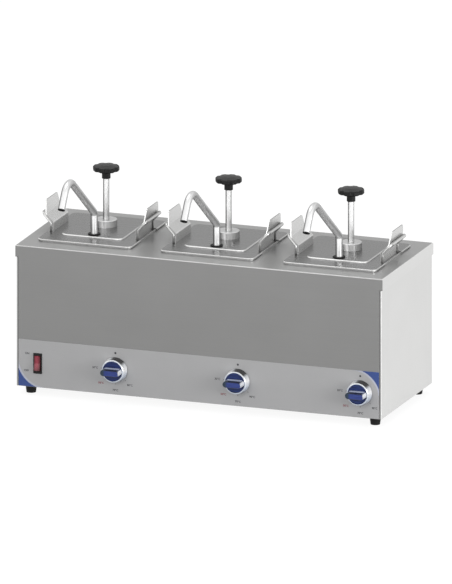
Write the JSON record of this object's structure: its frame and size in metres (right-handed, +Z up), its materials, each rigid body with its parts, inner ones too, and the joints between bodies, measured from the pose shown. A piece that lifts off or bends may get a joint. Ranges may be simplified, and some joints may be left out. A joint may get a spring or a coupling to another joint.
{
  "type": "topping warmer",
  "caption": "Countertop topping warmer: stainless case with heated wells, lift-out pans, lids with push-down pumps and bent spouts, front dials and a rocker switch.",
  "frame": {"origin": "middle of the whole footprint, spouts and cable gland included, on the standing surface", "axes": "+Z up, +X to the right seen from the front, +Y towards the back, away from the user"},
  "size_m": [0.65, 0.3468, 0.388],
  "materials": {
    "case_steel": "fine brushed stainless sheet",
    "tank_steel": "matt drawn stainless",
    "pan_steel": "bright satin stainless",
    "pump_steel": "polished stainless",
    "spring_steel": "bright spring wire",
    "screw_steel": "turned stainless",
    "heater_sheath": "oxidised heater sheath",
    "thermostat_shell": "zinc plated",
    "chrome": "bright chrome",
    "blue_plastic": "blue moulded grip and face",
    "red_plastic": "red translucent rocker",
    "black_plastic": "black moulding",
    "white_plastic": "natural white moulding",
    "overlay_film": "printed film, satin",
    "black_rubber": "black elastomer"
  },
  "bodies": {
    "case": {"top_front_panel": "case_steel", "side_panel_right": "case_steel", "side_panel_left": "case_steel", "rear_panel": "case_steel", "base_plate": "case_steel", "feet": "black_rubber", "screws": "screw_steel", "control_overlay": "overlay_film", "switch_bezel": "black_plastic", "cable_gland": "black_plastic", "terminal_block": "white_plastic", "well_tank_1": "tank_steel", "heater_1": "heater_sheath", "thermostat_1": "thermostat_shell", "well_tank_2": "tank_steel", "heater_2": "heater_sheath", "thermostat_2": "thermostat_shell", "well_tank_3": "tank_steel", "heater_3": "heater_sheath", "thermostat_3": "thermostat_shell"},
    "rocker": {"switch_rocker": "red_plastic"},
    "dial_1": {"dial_ring_1": "chrome", "dial_grip_1": "blue_plastic"},
    "pan_unit_1": {"pan_1": "pan_steel"},
    "lid_unit_1": {"lid_1": "pan_steel", "pump_collar_1": "pump_steel", "pump_cylinder_1": "pump_steel", "valve_body_1": "pump_steel", "pump_spring_1": "spring_steel", "spout_tube_1": "pump_steel", "spout_seals_1": "black_rubber"},
    "plunger_1": {"plunger_rod_1": "pump_steel", "piston_1": "white_plastic", "plunger_knob_1": "black_plastic"},
    "dial_2": {"dial_ring_2": "chrome", "dial_grip_2": "blue_plastic"},
    "pan_unit_2": {"pan_2": "pan_steel"},
    "lid_unit_2": {"lid_2": "pan_steel", "pump_collar_2": "pump_steel", "pump_cylinder_2": "pump_steel", "valve_body_2": "pump_steel", "pump_spring_2": "spring_steel", "spout_tube_2": "pump_steel", "spout_seals_2": "black_rubber"},
    "plunger_2": {"plunger_rod_2": "pump_steel", "piston_2": "white_plastic", "plunger_knob_2": "black_plastic"},
    "dial_3": {"dial_ring_3": "chrome", "dial_grip_3": "blue_plastic"},
    "pan_unit_3": {"pan_3": "pan_steel"},
    "lid_unit_3": {"lid_3": "pan_steel", "pump_collar_3": "pump_steel", "pump_cylinder_3": "pump_steel", "valve_body_3": "pump_steel", "pump_spring_3": "spring_steel", "spout_tube_3": "pump_steel", "spout_seals_3": "black_rubber"},
    "plunger_3": {"plunger_rod_3": "pump_steel", "piston_3": "white_plastic", "plunger_knob_3": "black_plastic"}
  },
  "joints": [
    {"name": "switch_press", "type": "hinge", "parent": "case", "child": "rocker", "pos_m": [-0.285, -0.09413, 0.0562], "axis": [1, 0, 0], "range_deg": [0, 16]},
    {"name": "dial_turn_1", "type": "hinge", "parent": "case", "child": "dial_1", "pos_m": [-0.14767, -0.09413, 0.0584], "axis": [0, 1, 0], "range_deg": [-270, 0]},
    {"name": "pan_lift_1", "type": "slide", "parent": "case", "child": "pan_unit_1", "axis": [0, 0, 1], "range_m": [0, 0.165]},
    {"name": "lid_lift_1", "type": "slide", "parent": "pan_unit_1", "child": "lid_unit_1", "axis": [0, 0, 1], "range_m": [0, 0.155]},
    {"name": "plunger_press_1", "type": "slide", "parent": "lid_unit_1", "child": "plunger_1", "axis": [0, 0, -1], "range_m": [0, 0.045], "stiffness_N_per_m": 200, "springref_m": -0.02, "deforming": ["pump_spring_1"]},
    {"name": "dial_turn_2", "type": "hinge", "parent": "case", "child": "dial_2", "pos_m": [0.069, -0.09413, 0.0584], "axis": [0, 1, 0], "range_deg": [-270, 0]},
    {"name": "pan_lift_2", "type": "slide", "parent": "case", "child": "pan_unit_2", "axis": [0, 0, 1], "range_m": [0, 0.165]},
    {"name": "lid_lift_2", "type": "slide", "parent": "pan_unit_2", "child": "lid_unit_2", "axis": [0, 0, 1], "range_m": [0, 0.155]},
    {"name": "plunger_press_2", "type": "slide", "parent": "lid_unit_2", "child": "plunger_2", "axis": [0, 0, -1], "range_m": [0, 0.045], "stiffness_N_per_m": 200, "springref_m": -0.02, "deforming": ["pump_spring_2"]},
    {"name": "dial_turn_3", "type": "hinge", "parent": "case", "child": "dial_3", "pos_m": [0.28567, -0.09413, 0.0584], "axis": [0, 1, 0], "range_deg": [-270, 0]},
    {"name": "pan_lift_3", "type": "slide", "parent": "case", "child": "pan_unit_3", "axis": [0, 0, 1], "range_m": [0, 0.165]},
    {"name": "lid_lift_3", "type": "slide", "parent": "pan_unit_3", "child": "lid_unit_3", "axis": [0, 0, 1], "range_m": [0, 0.155]},
    {"name": "plunger_press_3", "type": "slide", "parent": "lid_unit_3", "child": "plunger_3", "axis": [0, 0, -1], "range_m": [0, 0.045], "stiffness_N_per_m": 200, "springref_m": -0.02, "deforming": ["pump_spring_3"]}
  ]
}
